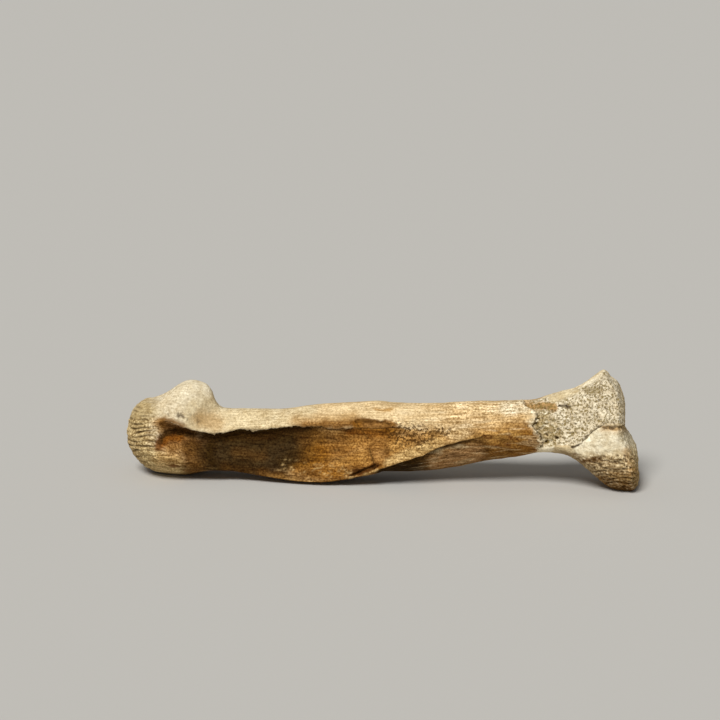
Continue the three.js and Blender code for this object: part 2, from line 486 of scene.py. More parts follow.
class FaceMap:
    """Where the parts of the bone's face lie on its surface, before it is sculpted."""

    def __init__(self, surface: Surface, view: PhotoView) -> None:
        """Lay the face's lines out over the surface.

        Args:
            surface: The refined mesh, not yet sculpted.
            view: Viewpoint that the lines are laid out from.
        """
        self.points = surface.points.copy()
        self.normals = surface.normals.copy()
        self.view_points = self.points @ view.axes().T
        self.frame = view.pixels(self.points)
        self.facing = self.normals @ view.axes()[2]
        self.seen = ramp(self.facing, 0.0, 0.25)
        self.wander = np.stack([self.stray(self.points), self.stray(self.points + 70)], axis=1)
        self.lip_drop = self.below(LIP, 1.3)
        self.crest_drop = self.below(CREST, 0.5)
        self.past_break = self.beyond(BREAK_EDGE, 1.0) - 1.1 * blocks(self.points, 5)
        self.above_crack = -self.below(CRACK_FLOOR, 0.4)

    def stray(self, points: Array) -> Array:
        """Return an uneven offset in pixels that frays the edges of stains."""
        broad = 2.4 * ripple(points, (18, 10, 10))
        return broad + 1.5 * ripple(points, (7, 4, 4)) + 1.1 * ripple(points, (3.4, 2.2, 2.2))

    def ragged(self, amount: float) -> Array:
        """Return an uneven offset that makes a broken edge, up to about the amount."""
        broad = ripple(self.points, (9, 9, 9)) + 0.7 * ripple(self.points, (4, 4, 4))
        return amount * (broad + 0.6 * ripple(self.points, (2, 2, 2)))

    def below(self, line: Path, ragged: float) -> Array:
        """Measure how far points lie below a line across the frame.

        Args:
            line: Corners of the line from left to right, in pixels.
            ragged: How far the line strays from its corners, in pixels.

        Returns:
            Pixels below the line, negative above it.
        """
        columns, rows = np.array(line).T
        return self.frame[:, 1] - np.interp(self.frame[:, 0], columns, rows) - self.ragged(ragged)

    def beyond(self, line: Path, ragged: float) -> Array:
        """Measure how far points lie to the right of a line down the frame.

        Args:
            line: Corners of the line from top to bottom, in pixels.
            ragged: How far the line strays from its corners, in pixels.

        Returns:
            Pixels to the right of the line, negative to its left.
        """
        columns, rows = np.array(line).T
        return self.frame[:, 0] - np.interp(self.frame[:, 1], rows, columns) - self.ragged(ragged)

    def near(self, path: Path, reach: float, fade: float) -> Array:
        """Return 1 within reach of a path, falling to 0 over the fade, all in pixels."""
        return 1 - ramp(path_distance(self.frame, path), reach - fade, reach + fade)

    def span(self, start: float, full: float, rest: float, end: float) -> Array:
        """Return a share that rises from start to full and falls from rest to end, across the frame."""
        across = self.frame[:, 0]
        return ramp(across, start, full) * (1 - ramp(across, rest, end))

    def zones(self) -> dict[Zone, Array]:
        """Measure how far each point belongs to each zone.

        Returns:
            For each zone, a share from 0 to 1 at each point.
        """
        below_lip = ramp(self.lip_drop, 0.0, 1.6)
        below_crest = ramp(self.crest_drop, 0.0, 1.6) * ramp(self.frame[:, 0], *CREST_FADE)
        shaft = 1 - ramp(self.past_break, -0.6, 0.6)
        above_crack = ramp(self.above_crack, 0.0, 2.0)
        return {
            Zone.FACE: self.seen,
            Zone.BAND: self.seen * shaft * (1 - below_lip),
            Zone.HOLLOW: self.seen * shaft * below_lip * (1 - below_crest),
            Zone.UNDERSIDE: ramp(self.facing, -0.3, 0.1) * shaft * below_crest,
            Zone.BREAK: self.seen * (1 - shaft) * above_crack,
            Zone.LOBE: self.seen * (1 - shaft) * (1 - above_crack),
        }


@dataclass(frozen=True)
class MineralisedBone:
    """Bone turned to mineral: matt and finely grained, with open pores where its surface is lost."""

    # Dry, weathered mineral gives the eye no gloss, only streaks along the grain and dark specks of pores.
    # Its IOR is near that of the mineral. Real fibres and specks are well under a millimetre across, too fine
    # to show, so grain and flecks are drawn 2 mm wide. Pores and sponge are as wide as the photograph shows.
    name: str = "mineralised_bone"
    roughness: float = 0.95
    ior: float = 1.6
    specular: float = 0.05
    grain_mm: float = 2.0
    grain_run_mm: float = 26.0
    mottle_mm: float = 12.0
    fleck_mm: float = 2.0
    pore_mm: float = 2.8
    sponge_mm: float = 2.4

    def material(self) -> bpy.types.Material:
        """Build the material.

        Returns:
            The material, which reads the piece's marks.
        """
        made = bpy.data.materials.new(self.name)
        made.use_nodes = True
        tree = made.node_tree
        tree.nodes.clear()
        place = add_node(tree, "ShaderNodeTexCoord").outputs["Object"]
        marks = {
            mark: add_node(tree, "ShaderNodeAttribute", attribute_name=mark.value).outputs
            for mark in Mark
        }
        run = MM_PER_M / self.grain_run_mm
        fine = MM_PER_M / self.grain_mm
        grain_place = add_node(tree, "ShaderNodeMapping", {"Vector": place, "Scale": (run, fine, fine)})
        grain = add_node(
            tree, "ShaderNodeTexNoise",
            {"Vector": grain_place.outputs[0], "Scale": 1.0, "Detail": 4.0, "Roughness": 0.6},
        ).outputs["Fac"]
        mottle, fleck, pore, sponge = (
            add_node(
                tree, "ShaderNodeTexNoise",
                {"Vector": place, "Scale": MM_PER_M / size, "Detail": detail, "Roughness": 0.65},
            ).outputs["Fac"]
            for size, detail in (
                (self.mottle_mm, 4.0), (self.fleck_mm, 2.0), (self.pore_mm, 1.0), (self.sponge_mm, 2.0),
            )
        )

        # Grain, mottling and flecks lighten and darken the stain
        colour = marks[Mark.TINT]["Color"]
        for pattern, share, darkest, lightest in (
            (grain, marks[Mark.GRAIN]["Fac"], (0.53, 0.44, 0.31), (1.38, 1.4, 1.43)),
            (mottle, 1.0, (0.86, 0.81, 0.72), (1.1, 1.11, 1.12)),
            (fleck, marks[Mark.GRAIN]["Fac"], (0.5, 0.42, 0.31), (1.44, 1.47, 1.52)),
        ):
            tone = add_node(
                tree, "ShaderNodeMapRange",
                {6: pattern, 7: (0.35, 0.35, 0.35), 8: (0.65, 0.65, 0.65), 9: darkest, 10: lightest},
                data_type="FLOAT_VECTOR",
            ).outputs[1]
            colour = add_node(
                tree, "ShaderNodeMix", {0: share, 6: colour, 7: tone},
                data_type="RGBA", blend_type="MULTIPLY",
            ).outputs[2]

        # Open pores are dark spots, and the spongy inside is pale struts over gaps darkened with painted
        # shade
        holes = []
        for pattern, mark, open_at, shut_at, shade in (
            (pore, Mark.PORES, 0.42, 0.48, Pigment.PORE),
            (sponge, Mark.SPONGE, 0.40, 0.50, Pigment.SPONGE_GAP),
        ):
            hole = add_node(
                tree, "ShaderNodeMapRange",
                {"Value": pattern, "From Min": open_at, "From Max": shut_at, "To Min": 0.85, "To Max": 0.0},
            ).outputs[0]
            share = add_node(
                tree, "ShaderNodeMath", {0: hole, 1: marks[mark]["Fac"]}, operation="MULTIPLY",
            ).outputs[0]
            colour = add_node(
                tree, "ShaderNodeMix", {0: share, 6: colour, 7: (*to_linear(shade.value), 1)},
                data_type="RGBA",
            ).outputs[2]
            holes.append(share)

        normal = add_node(
            tree, "ShaderNodeBump", {"Height": grain, "Strength": 0.3, "Distance": 0.0006},
        ).outputs[0]
        for height, strength, depth, sunk in (
            (mottle, 0.3, 0.0012, False),
            (fleck, 0.4, 0.0006, False),
            (holes[0], 0.6, 0.0008, True),
            (holes[1], 0.7, 0.001, True),
        ):
            normal = add_node(
                tree, "ShaderNodeBump",
                {"Height": height, "Strength": strength, "Distance": depth, "Normal": normal},
                invert=sunk,
            ).outputs[0]
        shader = add_node(
            tree, "ShaderNodeBsdfPrincipled",
            {
                "Base Color": colour, "Roughness": self.roughness, "IOR": self.ior,
                "Specular IOR Level": self.specular, "Normal": normal,
            },
        )
        add_node(tree, "ShaderNodeOutputMaterial", {"Surface": shader.outputs[0]})
        return made


class Tint:
    """The colour of each point, built up by laying pigments over one another."""

    def __init__(self, ground: Pigment, count: int) -> None:
        """Start from one colour all over."""
        self.linear = np.tile(to_linear(ground.value), (count, 1))

    def lay(self, pigment: Pigment, cover: Array) -> None:
        """Blend a pigment over the points, by a cover from 0 to 1."""
        self.linear += np.clip(cover, 0, 1)[:, None] * (to_linear(pigment.value) - self.linear)

    def rgba(self) -> Array:
        """Return the colours, opaque."""
        return np.c_[self.linear, np.ones(len(self.linear))]


@dataclass
class FossilBone:
    """The bone: its mesh is a refined copy of the CAD solid, worn and stained like the fossil, with painted
    shade and highlights.
    """

    view: PhotoView
    finish: MineralisedBone
    merge_mm: float = 0.01
    groove_gap_pixels: float = 4.8

    def build(self, solid: bpy.types.Object) -> bpy.types.Object:
        """Model and dress the bone.

        Args:
            solid: The CAD node, which stays as it is.

        Returns:
            The finished piece.
        """
        piece = bpy.data.objects.new("fossil_bone", solid.data.copy())
        bpy.context.scene.collection.objects.link(piece)
        piece.data.materials.clear()
        bpy.ops.object.select_all(action="DESELECT")
        piece.select_set(True)
        bpy.context.view_layer.objects.active = piece
        self._make_quads()
        self._round_off(piece)
        self._split(piece, self._face_zone)
        self._split(piece, self._detail_zone)
        bpy.ops.object.shade_smooth()
        surface = Surface(piece)
        face_map = FaceMap(surface, self.view)
        self._sculpt(surface, face_map)
        self._mark_patterns(surface, face_map)
        self._tint(surface, face_map)
        piece.data.materials.append(self.finish.material())
        LOG.info("bone mesh: %d triangles", sum(len(face.vertices) - 2 for face in piece.data.polygons))
        return piece

    def _make_quads(self) -> None:
        """Merge the solid's loose triangles and pair them into quads."""
        bpy.ops.mesh.customdata_custom_splitnormals_clear()
        bpy.ops.object.mode_set(mode="EDIT")
        bpy.ops.mesh.select_all(action="SELECT")
        bpy.ops.mesh.remove_doubles(threshold=self.merge_mm / MM_PER_M)
        bpy.ops.mesh.tris_convert_to_quads(face_threshold=math.pi, shape_threshold=math.pi)
        bpy.ops.object.mode_set(mode="OBJECT")

    def _round_off(self, piece: bpy.types.Object) -> None:
        """Round the solid's facets off.

        Args:
            piece: Object whose mesh is rounded.
        """
        bpy.ops.object.modifier_add(type="SUBSURF")
        rounded = piece.modifiers[-1]
        rounded.levels = 1
        rounded.render_levels = 1
        bpy.ops.object.modifier_apply(modifier=rounded.name)

    def _face_zone(self, frame: Array, facing: Array) -> Array:
        """Pick the points on the side that the photograph shows."""
        return facing > -0.15

    def _detail_zone(self, frame: Array, facing: Array) -> Array:
        """Pick the points that carry the finest wear: rim, lip, chips and break.

        Args:
            frame: Column and row of each point, in pixels.
            facing: How far each point faces the viewer.

        Returns:
            True for each point that is picked.
        """
        across, down = frame.T
        columns, rows = np.array(LIP).T
        by_lip = np.abs(down - np.interp(across, columns, rows)) < LIP_REACH
        lip = (across > LIP_START) & (across < LIP_END) & by_lip
        rim = across < RIM_END
        chips = (across > CHIPS_START) & (across < LIP_END) & (down > CHIPS_ROW)
        fan = (across > FAN_COLUMN) & (down < FAN_FOOT_ROW)
        return (facing > -0.1) & rim | (facing > 0.02) & (lip | chips | fan)

    def _split(self, piece: bpy.types.Object, zone: Callable[[Array, Array], Array]) -> None:
        """Split the faces in a zone in four.

        Args:
            piece: Object whose mesh is refined.
            zone: Picks points by their place in the frame and how far they face the viewer.
        """
        surface = Surface(piece)
        facing = surface.normals @ self.view.axes()[2]
        wanted = zone(self.view.pixels(surface.points), facing)
        chosen = [all(wanted[i] for i in face.vertices) for face in piece.data.polygons]
        bpy.ops.object.mode_set(mode="EDIT")
        bpy.ops.mesh.select_mode(type="FACE")
        bpy.ops.mesh.select_all(action="DESELECT")
        bpy.ops.object.mode_set(mode="OBJECT")
        piece.data.polygons.foreach_set("select", chosen)
        bpy.ops.object.mode_set(mode="EDIT")
        bpy.ops.mesh.subdivide(number_cuts=1, smoothness=1.0)
        bpy.ops.object.mode_set(mode="OBJECT")

    def _sculpt(self, surface: Surface, face: FaceMap) -> None:
        """Wear the bone as the fossil is worn.

        Args:
            surface: Mesh that is worn.
            face: Layout of the face.
        """
        for wear in (
            self._swell, self._groove_rim, self._sink_knuckle_hollow, self._undercut_lip,
            self._sharpen_crest, self._break_fan, self._score_lobe, self._open_cracks,
        ):
            surface.push(wear(face))

    def _swell(self, face: FaceMap) -> Array:
        """Make slow swells, and the finer unevenness of weathered bone.

        Args:
            face: Layout of the face.

        Returns:
            Millimetres that each point moves out.
        """
        points = face.points
        slow = 0.8 * ripple(points, (50, 30, 30)) + 0.5 * ripple(points, (15, 10, 10))
        close = 0.3 * ripple(points, (7, 5, 5)) + 0.14 * ripple(points, (3, 2.4, 2.4))
        worn_fan = 0.8 * ramp(points[:, 0], *FAN_MM) * ripple(points, (4, 4, 4))
        return slow + ramp(face.facing, -0.15, 0.1) * (close + worn_fan)

    def _rim_grooves(self, face: FaceMap) -> Array:
        """Place the grooves that run in from the knuckle's rim.

        Args:
            face: Layout of the face.

        Returns:
            A share from 0 to 1 for each point.
        """
        across, down = face.frame.T
        lean = 0.35 * (1 - ramp(down, *RIM_LEAN_ROWS))
        bend = 2.6 * ripple(face.points, (28, 28, 13)) + 0.6 * ripple(face.points, (9, 9, 5))
        turns = (down - lean * (across - RIM_COLUMN) + bend) / self.groove_gap_pixels
        from_middle = np.abs(turns - np.round(turns))
        patchy = np.clip(0.75 + 1.6 * ripple(face.points + 30, (20, 20, 6)), 0.1, 1)
        patchy *= (0.6 + 0.4 * ramp(down, *RIM_CROWN_ROWS)) * (1 - 0.45 * ramp(down, *RIM_FOOT_ROWS))
        reach = 1 - ramp(across + 7 * ripple(face.points + 60, (12, 12, 5)), *RIM_FADE)
        return reach * patchy * np.exp(-((from_middle / 0.19) ** 2)) * ramp(face.facing, -0.15, 0.25)

    def _groove_rim(self, face: FaceMap) -> Array:
        """Return the depth of the rim's grooves, and the swells between them."""
        swells = 0.7 * ripple(face.points + 80, (14, 14, 6)) * (1 - ramp(face.frame[:, 0], *RIM_FADE))
        return swells * face.seen - 2.0 * self._rim_grooves(face)

    def _sink_knuckle_hollow(self, face: FaceMap) -> Array:
        """Sink the crease under the overhang, and shape the knob's shoulder and pit.

        Args:
            face: Layout of the face.

        Returns:
            Millimetres that each point moves out.
        """
        shoulder = Crack(KNOB_SHOULDER, 5.0, 2.2).cut(face.frame) * ramp(face.facing, -0.5, -0.1)
        crease = Crack(KNUCKLE_CREASE, 3.5, 3.2).cut(face.frame)
        rim = Crack(HOLLOW_RIM, 3.5, 0.6).cut(face.frame)
        pit = Crack(KNOB_PIT, 1.7, 1.6).cut(face.frame + 0.3 * face.wander)
        return shoulder + face.seen * (rim - crease - pit)

    def _undercut_lip(self, face: FaceMap) -> Array:
        """Cut under the ragged lip, and leave its keen edge and the flake scar on it.

        Args:
            face: Layout of the face.

        Returns:
            Millimetres that each point moves out.
        """
        drop = face.lip_drop
        depth = np.interp(face.frame[:, 0], LIP_COLUMNS, LIP_CUT_MM)
        cut = depth * ramp(drop, 0, 1.4) * np.exp(-np.maximum(drop, 0) / 9)
        edge = 0.18 * depth * np.exp(-(((drop + 1.6) / 1.6) ** 2))
        scar = ramp(face.below(SCAR_TOP, 0.7), 0, 2.4) * (1 - ramp(face.below(SCAR_LOW, 0.4), -3, 3))
        return face.seen * (edge - cut - 1.3 * scar * face.span(*SCAR_SPAN))

    def _sharpen_crest(self, face: FaceMap) -> Array:
        """Leave the crest keen, and chip the belly's edge.

        Args:
            face: Layout of the face.

        Returns:
            Millimetres that each point moves out.
        """
        drop = face.crest_drop
        cut = 3.2 * face.span(*CREST_SPAN) * ramp(drop, 0, 1.8) * np.exp(-np.maximum(drop, 0) / 14)
        chip = ramp(face.below(CHIP_TOP, 0.6), 0, 1.4) * (1 - ramp(face.below(CHIP_LOW, 0.5), -1.4, 0.4))
        return -cut * ramp(face.facing, -0.3, 0.1) - 3.4 * chip * face.span(*CHIP_SPAN) * face.seen

    def _break_fan(self, face: FaceMap) -> Array:
        """Step down at the break's ragged edge, and roughen the inside that it lays bare.

        Args:
            face: Layout of the face.

        Returns:
            Millimetres that each point moves out.
        """
        past = face.past_break
        strip = np.maximum(face.near(STRIP_BROAD, 5, 1.5), face.near(STRIP_FINE, 2.5, 1))
        inside = face.seen * ramp(past, 0, 1.2) * ramp(face.above_crack, 0, 3)
        open_sponge = inside * (1 - ramp(past, 16, 30)) * (1 - strip)
        lumps = 1.5 * ripple(face.points, (7, 7, 7)) + 1.0 * ripple(face.points, (3.6, 3.6, 3.6))
        deep = 3.0 * pits(face.points, 6.5, 0.42)
        shallow = 0.9 * pits(face.points, 3.6, 0.45)
        rim = face.seen * np.exp(-(((past + 2.4) / 2.2) ** 2)) * ramp(face.above_crack, -6, 0)
        chip = Crack(WHITE_CHIP, 2.6, 1.8).cut(face.frame)
        worn = open_sponge * (lumps - deep) - inside * (1 - 0.9 * strip) * shallow
        step = 1.8 * inside + 1.2 * inside * (1 - ramp(past, 4, 14))
        return rim * (0.9 + 1.2 * ripple(face.points, (6, 6, 6))) + face.seen * chip - step + worn

    def _score_lobe(self, face: FaceMap) -> Array:
        """Score the fan's lower lobe, and pit its worn end.

        Args:
            face: Layout of the face.

        Returns:
            Millimetres that each point moves out.
        """
        across, down = face.frame.T
        low = face.seen * ramp(across, *LOBE_COLUMNS) * ramp(down, *LOBE_ROWS)
        end = face.seen * ramp(across, *LOBE_END_COLUMNS) * ramp(down, *LOBE_END_ROWS)
        places = face.view_points
        scores = 1.5 * veins(places, (26, 5.5, 26), 0.2) + 0.7 * veins(places + 30, (18, 3.4, 18), 0.22)
        return -low * scores - np.maximum(0.5 * low, end) * 1.4 * pits(face.points, 5, 0.45)

    def _open_cracks(self, face: FaceMap) -> Array:
        """Open the cracks.

        Args:
            face: Layout of the face.

        Returns:
            Millimetres that each point moves out.
        """
        places = face.frame + 0.25 * face.wander
        depth = np.zeros(len(places))
        for crack in (
            Crack(FAN_CRACK, 1.0, 2.2),
            Crack(FAN_GROOVE, 2.6, 2.3),
            Crack(SHAFT_CRACK_HIGH, 0.9, 0.4),
            Crack(SHAFT_CRACK_LOW, 0.9, 0.6),
            Crack(SMALL_CRACK, 1.4, 2.0),
        ):
            depth = np.maximum(depth, crack.cut(places))
        return -face.seen * depth

    def stains_and_shades(self) -> tuple[StainAndShade, ...]:
        """Return the patches of staining, painted shade and painted highlight on the bone's face, in the
        order they are laid.
        """
        named = self._knuckle_stains_and_shades() | self._shaft_stains_and_shades() | self._fan_stains_and_shades()
        return tuple(named.values())

    def _knuckle_stains_and_shades(self) -> dict[str, StainAndShade]:
        """List the knuckle's staining and painted shade: pale outside, amber and brown in its hollow, with
        shade painted under the overhang, in the crease and on the underside by the neck.

        Returns:
            Patches by name, in the order they are laid.
        """
        crease = ((162, 437), (168, 432.8), (175, 431.8), (190, 433.5), (204, 436))
        return dict(
            pale_ground=StainAndShade(Pigment.IVORY, ((150, 440), (165, 410), (195, 400)), 46, 6, 0.9),
            knob_bleach=StainAndShade(Pigment.BLEACHED, ((185, 388), (204, 396)), 16, 7, 0.5),
            rim_straw=StainAndShade(
                Pigment.STRAW, ((142, 410), (136, 430), (137, 447), (148, 461), (176, 468)), 14, 8, 0.8,
            ),
            foot_tan=StainAndShade(Pigment.TAN, ((162, 458), (180, 460), (196, 462)), 7, 5, 0.5),
            # Partly amber and brown stain, partly painted shade on the overhang's underside, which faces down
            overhang_tan=StainAndShade(Pigment.TAN, ((160, 424), (164, 431)), 6, 4, 0.75),
            overhang_amber=StainAndShade(Pigment.AMBER, ((164, 422), (177, 428), (192, 432.5)), 6, 3, 0.8),
            overhang_brown=StainAndShade(Pigment.BROWN, ((165, 422.5), (178, 427.5), (186, 431)), 4.5, 3, 0.6),
            hollow_amber=StainAndShade(Pigment.AMBER, ((170, 441), (180, 442), (192, 447)), 11, 6, 0.9),
            hollow_honey=StainAndShade(Pigment.HONEY, ((170, 450), (178, 452)), 5, 4, 0.35),
            hollow_orange=StainAndShade(
                Pigment.ORANGE, ((160, 447), (161, 441), (167, 437), (180, 437)), 4.8, 2.2, 0.9,
            ),
            # Painted shade on the knuckle's underside by the neck, which faces down
            neck_underside_shade=StainAndShade(Pigment.BROWN, ((192, 448), (196, 462), (206, 444)), 11, 6, 0.9),
            foot_shade=StainAndShade(Pigment.BROWN, ((188, 467), (208, 466)), 7, 4, 0.8),
            neck_shade=StainAndShade(Pigment.UMBER, ((196, 442), (200, 458), (210, 462)), 8, 6, 0.45),
            overhang_shade=StainAndShade(Pigment.UMBER, ((170, 426.5), (180, 430)), 2, 1.4, 0.4),
            crease_shade=StainAndShade(Pigment.UMBER, crease, 2.2, 1.6, 0.75),
            foot_rust=StainAndShade(Pigment.RUST, ((170, 466), (178, 466.5)), 1.6, 0.9, 0.8),
        )

    def _shaft_stains_and_shades(self) -> dict[str, StainAndShade]:
        """List the shaft's staining and painted shade: cream above the lip, dark to amber in the hollow, with
        shade painted under the lip, below the crest and in the cracks.

        Returns:
            Patches by name, in the order they are laid.
        """
        crest_shade = ((380, 470), (402, 464), (424, 457), (440, 449), (460, 443), (474, 440))
        under_lip = ((207, 437), (250, 436), (304, 431))
        under_crest = ((384, 472), (420, 466), (450, 456), (475, 450))
        flecks = (
            ((484, 436.5), (491, 437)), ((508, 435), (511, 438)), ((495, 445.5), (500, 446)),
            ((507, 445), (509, 446)), ((516, 439.5), (517, 440)), ((529, 441), (530, 441.5)),
        )
        return dict(
            band_cream=StainAndShade(
                Pigment.CREAM, ((207, 418), (300, 414), (380, 410), (520, 408)), 22, 4, 0.9, Zone.BAND,
            ),
            band_warm=StainAndShade(Pigment.WARM_CREAM, ((330, 410), (400, 411), (520, 410)), 14, 7, 0.8, Zone.BAND),
            neck_tan=StainAndShade(Pigment.TAN, ((202, 419), (216, 423)), 9, 6, 0.55, Zone.BAND),
            lip_tan=StainAndShade(Pigment.TAN, ((296, 421), (325, 421), (352, 418)), 6, 5, 0.65, Zone.BAND),
            lip_amber=StainAndShade(Pigment.AMBER, ((306, 426.5), (330, 426), (358, 423.5)), 5, 4, 0.85, Zone.BAND),
            ridge_honey=StainAndShade(Pigment.HONEY, ((376, 409), (384, 411), (391, 410.5)), 1.5, 1, 0.75, Zone.BAND),
            # Partly dark stain, partly painted shade in the hollow under the lip
            trough_dark_stain_and_shade=StainAndShade(
                Pigment.OLIVE_DARK, ((226, 452), (250, 452), (304, 446)), 26, 8, 0.98, Zone.HOLLOW,
            ),
            belly_amber=StainAndShade(Pigment.AMBER, ((338, 458), (352, 452), (380, 450)), 30, 16, 0.9, Zone.HOLLOW),
            belly_low=StainAndShade(Pigment.AMBER, ((298, 472), (310, 474), (340, 476)), 8, 7, 0.7, Zone.HOLLOW),
            trough_foot=StainAndShade(Pigment.UMBER, ((226, 468), (254, 472), (280, 477)), 6, 4, 0.9, Zone.HOLLOW),
            belly_left=StainAndShade(Pigment.BROWN, ((262, 474), (280, 477), (298, 479)), 4, 3, 0.7, Zone.HOLLOW),
            belly_edge=StainAndShade(Pigment.TAN, ((270, 475), (290, 478), (310, 480)), 2, 2, 0.3, Zone.HOLLOW),
            trough_top=StainAndShade(Pigment.BROWN, ((302, 440), (326, 436), (348, 435)), 6, 6, 0.6, Zone.HOLLOW),
            belly_spot=StainAndShade(Pigment.BROWN, ((304, 473), (320, 476)), 3, 2.5, 0.5, Zone.HOLLOW),
            trough_brown=StainAndShade(Pigment.BROWN, ((236, 452), (262, 456)), 5, 4, 0.35, Zone.HOLLOW),
            lip_shade=StainAndShade(Pigment.UMBER, under_lip, 3.6, 2.2, 0.7, Zone.HOLLOW),
            belly_honey=StainAndShade(Pigment.HONEY, ((340, 462), (366, 456)), 6, 5, 0.4, Zone.HOLLOW),
            scar_foot=StainAndShade(Pigment.ORANGE, ((350, 432), (384, 432)), 4, 3, 0.65, Zone.HOLLOW),
            pore_tan=StainAndShade(Pigment.TAN, ((402, 450), (412, 446), (432, 440)), 13, 6, 0.8, Zone.HOLLOW),
            pore_amber=StainAndShade(Pigment.AMBER, ((392, 432), (412, 434), (426, 436)), 8, 5, 0.4),
            crest_pale=StainAndShade(Pigment.PALE_TAN, ((388, 463), (412, 453), (440, 442)), 5, 3, 0.8, Zone.HOLLOW),
            scar_amber=StainAndShade(Pigment.AMBER, ((356, 424), (376, 424), (392, 426.5)), 5, 2, 0.9),
            # Partly brown stain, partly painted shadow under the flake scar's top ledge
            scar_top=StainAndShade(Pigment.BROWN, ((356, 420.5), (380, 420.8), (391, 424.6)), 1.5, 1.2, 0.85),
            right_tan=StainAndShade(Pigment.TAN, ((436, 434), (480, 426), (520, 425)), 9, 7, 0.5),
            right_honey=StainAndShade(Pigment.HONEY, ((480, 438), (510, 434), (535, 437)), 10, 6, 0.7),
            under_amber=StainAndShade(Pigment.AMBER, ((486, 449), (540, 447)), 9, 6, 0.8, Zone.UNDERSIDE),
            break_amber=StainAndShade(Pigment.AMBER, ((526, 430), (537, 440)), 7, 5, 0.7),
            # Partly brown stain, partly painted shade on the underside below the crest, which faces down
            under_brown_and_shade=StainAndShade(Pigment.BROWN, under_crest, 14, 5, 0.85, Zone.UNDERSIDE),
            under_rosy=StainAndShade(
                Pigment.ROSY_BEIGE, ((436, 464), (450, 460), (476, 453)), 7, 5, 0.95, Zone.UNDERSIDE,
            ),
            # Painted shadow just under the crest's keen edge
            crest_painted_shadow=StainAndShade(Pigment.UMBER, crest_shade, 2.6, 1.6, 0.7, Zone.UNDERSIDE),
            # Painted shadow, near black, on the underside by the chip's end
            under_painted_shadow=StainAndShade(
                Pigment.OLIVE_DARK, ((378, 474), (398, 472), (414, 468)), 11, 9, 1.0, Zone.UNDERSIDE,
            ),
            **{
                f"fleck_{number}": StainAndShade(Pigment.RUST, fleck, 1.5, 0.8, 0.75)
                for number, fleck in enumerate(flecks)
            },
            # Painted shade in the shaft's two cracks
            crack_high=StainAndShade(Pigment.BROWN, SHAFT_CRACK_HIGH, 0.9, 0.7, 0.5),
            crack_low=StainAndShade(Pigment.UMBER, SHAFT_CRACK_LOW, 0.8, 0.6, 0.5),
            chip_rust=StainAndShade(Pigment.RUST, ((350, 474.5), (362, 471.5), (374, 466.5)), 3.4, 1.4, 0.95),
            # Painted shade in the chip's notch, under its upper edge
            chip_dark=StainAndShade(Pigment.UMBER, ((354, 473), (364, 470), (374, 466)), 2.4, 1.4, 0.75),
            chip_edge=StainAndShade(Pigment.PALE_TAN, ((350, 478), (362, 476.5), (376, 470.5)), 1.3, 0.9, 0.7),
            break_bleach=StainAndShade(Pigment.BLEACHED, ((505, 409), (524, 408)), 6, 3, 0.85, Zone.BAND),
        )

    def _fan_stains_and_shades(self) -> dict[str, StainAndShade]:
        """List the fan's staining, painted shade and painted highlight: pale sponge, brown under the broken
        edge and on the lobe, with shade painted in the cracks and the groove and a highlight on the top edge.

        Returns:
            Patches by name, in the order they are laid.
        """
        return dict(
            sponge_pale=StainAndShade(
                Pigment.SPONGE_PALE, ((540, 410), (590, 405), (620, 400)), 60, 4, 0.95, Zone.BREAK,
            ),
            sponge_olive=StainAndShade(
                Pigment.SPONGE_OLIVE, ((541, 420), (547, 430), (551, 437)), 10, 5, 0.7, Zone.BREAK,
            ),
            patch_tan=StainAndShade(Pigment.TAN, ((526, 404), (540, 405), (552, 406)), 4.8, 1.8, 0.9, Zone.BREAK),
            strip_cream=StainAndShade(Pigment.CREAM, STRIP_BROAD, 5, 1.8, 0.7, Zone.BREAK),
            strip_straw=StainAndShade(Pigment.STRAW, STRIP_BROAD, 5, 2, 0.3, Zone.BREAK),
            # Partly pale bone, partly a painted highlight on the narrow top bevel, which faces up
            strip_bleach=StainAndShade(Pigment.BLEACHED, STRIP_FINE, 2.4, 1.2, 0.6, Zone.BREAK),
            sponge_spot=StainAndShade(Pigment.SPONGE_GAP, ((586, 389.5), (597, 390)), 4, 2.5, 0.65, Zone.BREAK),
            # Painted shade in the small crack
            small_crack=StainAndShade(Pigment.UMBER, SMALL_CRACK, 1.4, 0.8, 0.8),
            lobe_cream=StainAndShade(Pigment.CREAM, ((556, 450), (590, 452), (622, 450)), 24, 4, 0.9, Zone.LOBE),
            lobe_bleach=StainAndShade(Pigment.BLEACHED, ((584, 444), (600, 440), (622, 440)), 13, 6, 1.0, Zone.LOBE),
            # Painted shade in the fan's groove and below its upper edge
            groove_tan=StainAndShade(Pigment.TAN, ((602, 429.5), (624, 429)), 4, 3, 0.4),
            groove_floor=StainAndShade(Pigment.TAN, FAN_GROOVE, 2, 1.5, 0.5),
            groove_line=StainAndShade(Pigment.UMBER, ((603, 426.3), (625, 425)), 1.0, 0.6, 0.7),
            lobe_brown=StainAndShade(Pigment.BROWN, ((597, 466), (612, 474), (628, 482)), 12, 6, 0.5, Zone.LOBE),
            lobe_end=StainAndShade(Pigment.TAN, ((627, 452), (634, 470)), 5, 3, 0.6, Zone.LOBE),
            lobe_spot=StainAndShade(Pigment.BROWN, ((585, 460), (598, 459.5)), 2.4, 1.2, 0.85, Zone.LOBE),
            lobe_neck=StainAndShade(Pigment.BROWN, ((556, 454), (574, 455), (584, 462)), 3, 2.5, 0.6, Zone.LOBE),
            # Painted shade in the fan's crack
            fan_crack=StainAndShade(Pigment.UMBER, FAN_CRACK, 1.0, 0.6, 0.9),
            white_chip=StainAndShade(Pigment.BLEACHED, WHITE_CHIP, 3.2, 1.0, 1.0),
        )

